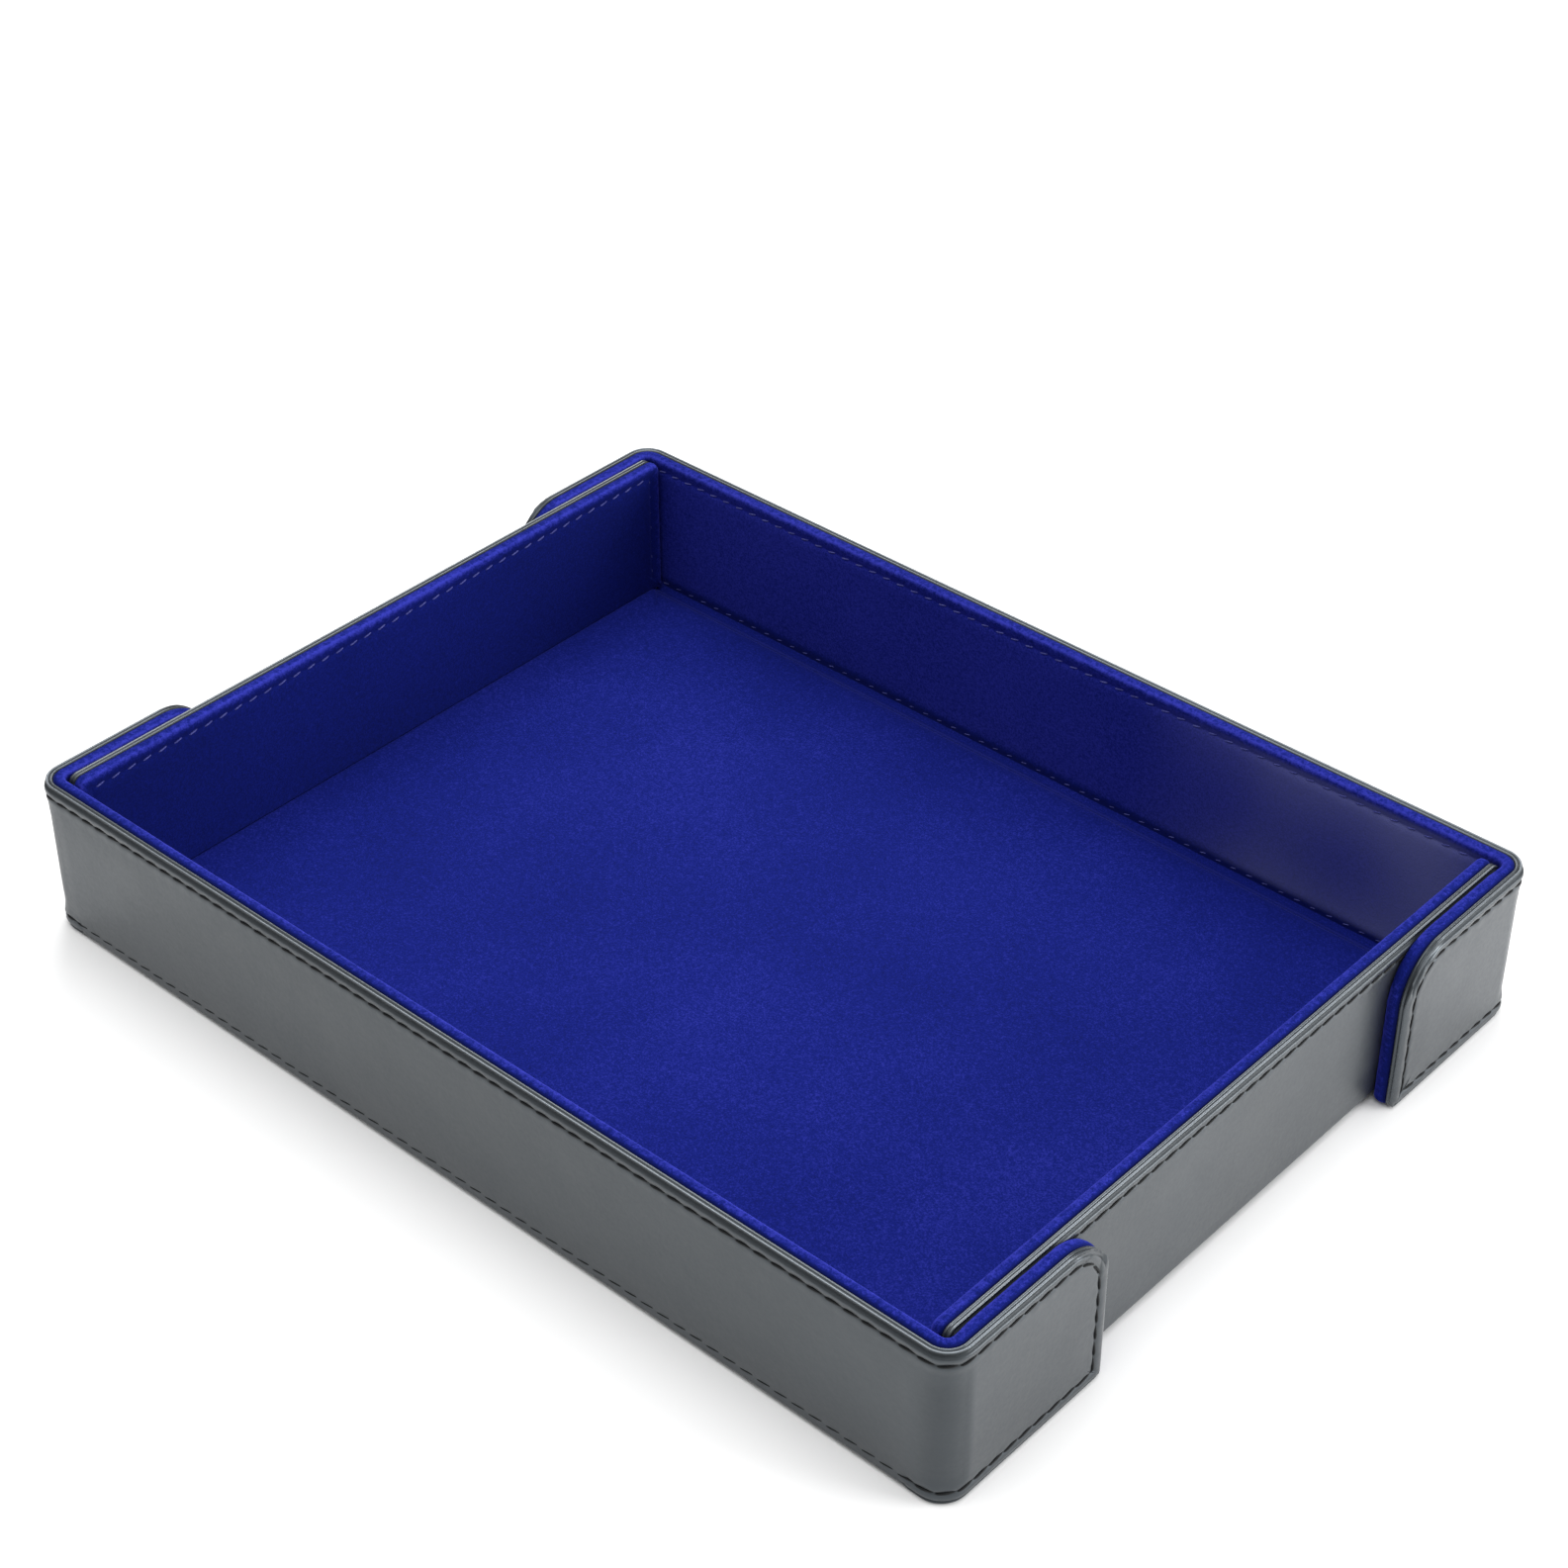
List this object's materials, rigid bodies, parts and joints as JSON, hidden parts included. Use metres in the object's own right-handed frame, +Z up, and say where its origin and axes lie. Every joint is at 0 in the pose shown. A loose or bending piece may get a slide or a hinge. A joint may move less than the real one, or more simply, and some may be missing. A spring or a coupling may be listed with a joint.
{
  "type": "folding dice tray",
  "caption": "Rectangular leather tray with a blue velvet inside; four stiffened walls fold down, and magnetic corner flaps wrap round the short walls.",
  "frame": {"origin": "middle of the tray's underside, where its leather base lies on the table", "axes": "+X along the tray's length, +Y along its width from the front to the rear long wall, +Z up out of the well"},
  "size_m": [0.25, 0.186, 0.038],
  "materials": {
    "leather": "satin",
    "velvet": "matte",
    "greyboard": "matte",
    "magnet": "satin"
  },
  "bodies": {
    "base": {"base_cover": "leather", "base_board": "greyboard", "base_lining": "velvet", "front_fold_leather": "leather", "front_fold_velvet": "velvet", "rear_fold_leather": "leather", "rear_fold_velvet": "velvet", "left_fold_leather": "leather", "left_fold_velvet": "velvet", "right_fold_leather": "leather", "right_fold_velvet": "velvet"},
    "front_wall": {"front_wall_cover": "leather", "front_wall_board": "greyboard", "front_wall_lining": "velvet", "front_left_bend_leather": "leather", "front_left_bend_velvet": "velvet", "front_right_bend_leather": "leather", "front_right_bend_velvet": "velvet"},
    "rear_wall": {"rear_wall_cover": "leather", "rear_wall_board": "greyboard", "rear_wall_lining": "velvet", "rear_left_bend_leather": "leather", "rear_left_bend_velvet": "velvet", "rear_right_bend_leather": "leather", "rear_right_bend_velvet": "velvet"},
    "left_wall": {"left_wall_cover": "leather", "left_wall_board": "greyboard", "left_wall_lining": "velvet", "left_wall_magnet_front": "magnet", "left_wall_magnet_rear": "magnet"},
    "right_wall": {"right_wall_cover": "leather", "right_wall_board": "greyboard", "right_wall_lining": "velvet", "right_wall_magnet_front": "magnet", "right_wall_magnet_rear": "magnet"},
    "front_left_flap": {"front_left_flap_cover": "leather", "front_left_flap_board": "greyboard", "front_left_flap_lining": "velvet", "front_left_flap_magnet": "magnet"},
    "front_right_flap": {"front_right_flap_cover": "leather", "front_right_flap_board": "greyboard", "front_right_flap_lining": "velvet", "front_right_flap_magnet": "magnet"},
    "rear_left_flap": {"rear_left_flap_cover": "leather", "rear_left_flap_board": "greyboard", "rear_left_flap_lining": "velvet", "rear_left_flap_magnet": "magnet"},
    "rear_right_flap": {"rear_right_flap_cover": "leather", "rear_right_flap_board": "greyboard", "rear_right_flap_lining": "velvet", "rear_right_flap_magnet": "magnet"}
  },
  "joints": [
    {"name": "front_wall_fold", "type": "hinge", "parent": "base", "child": "front_wall", "pos_m": [0, -0.0923, 0.0007], "axis": [1, 0, 0], "range_deg": [0, 90], "deforming": ["front_fold_leather", "front_fold_velvet"]},
    {"name": "rear_wall_fold", "type": "hinge", "parent": "base", "child": "rear_wall", "pos_m": [0, 0.0923, 0.0007], "axis": [-1, 0, 0], "range_deg": [0, 90], "deforming": ["rear_fold_leather", "rear_fold_velvet"]},
    {"name": "left_wall_fold", "type": "hinge", "parent": "base", "child": "left_wall", "pos_m": [-0.1157, 0, 0.00415], "axis": [0, -1, 0], "range_deg": [-90, 0], "deforming": ["left_fold_leather", "left_fold_velvet"]},
    {"name": "right_wall_fold", "type": "hinge", "parent": "base", "child": "right_wall", "pos_m": [0.1157, 0, 0.00415], "axis": [0, 1, 0], "range_deg": [-90, 0], "deforming": ["right_fold_leather", "right_fold_velvet"]},
    {"name": "front_left_flap_fold", "type": "hinge", "parent": "front_wall", "child": "front_left_flap", "pos_m": [-0.1237, -0.0917, 0.019], "axis": [0, 0, 1], "range_deg": [0, 90], "deforming": ["front_left_bend_leather", "front_left_bend_velvet"]},
    {"name": "front_right_flap_fold", "type": "hinge", "parent": "front_wall", "child": "front_right_flap", "pos_m": [0.1237, -0.0917, 0.019], "axis": [0, 0, -1], "range_deg": [0, 90], "deforming": ["front_right_bend_leather", "front_right_bend_velvet"]},
    {"name": "rear_left_flap_fold", "type": "hinge", "parent": "rear_wall", "child": "rear_left_flap", "pos_m": [-0.1237, 0.0917, 0.019], "axis": [0, 0, -1], "range_deg": [0, 90], "deforming": ["rear_left_bend_leather", "rear_left_bend_velvet"]},
    {"name": "rear_right_flap_fold", "type": "hinge", "parent": "rear_wall", "child": "rear_right_flap", "pos_m": [0.1237, 0.0917, 0.019], "axis": [0, 0, 1], "range_deg": [0, 90], "deforming": ["rear_right_bend_leather", "rear_right_bend_velvet"]}
  ]
}
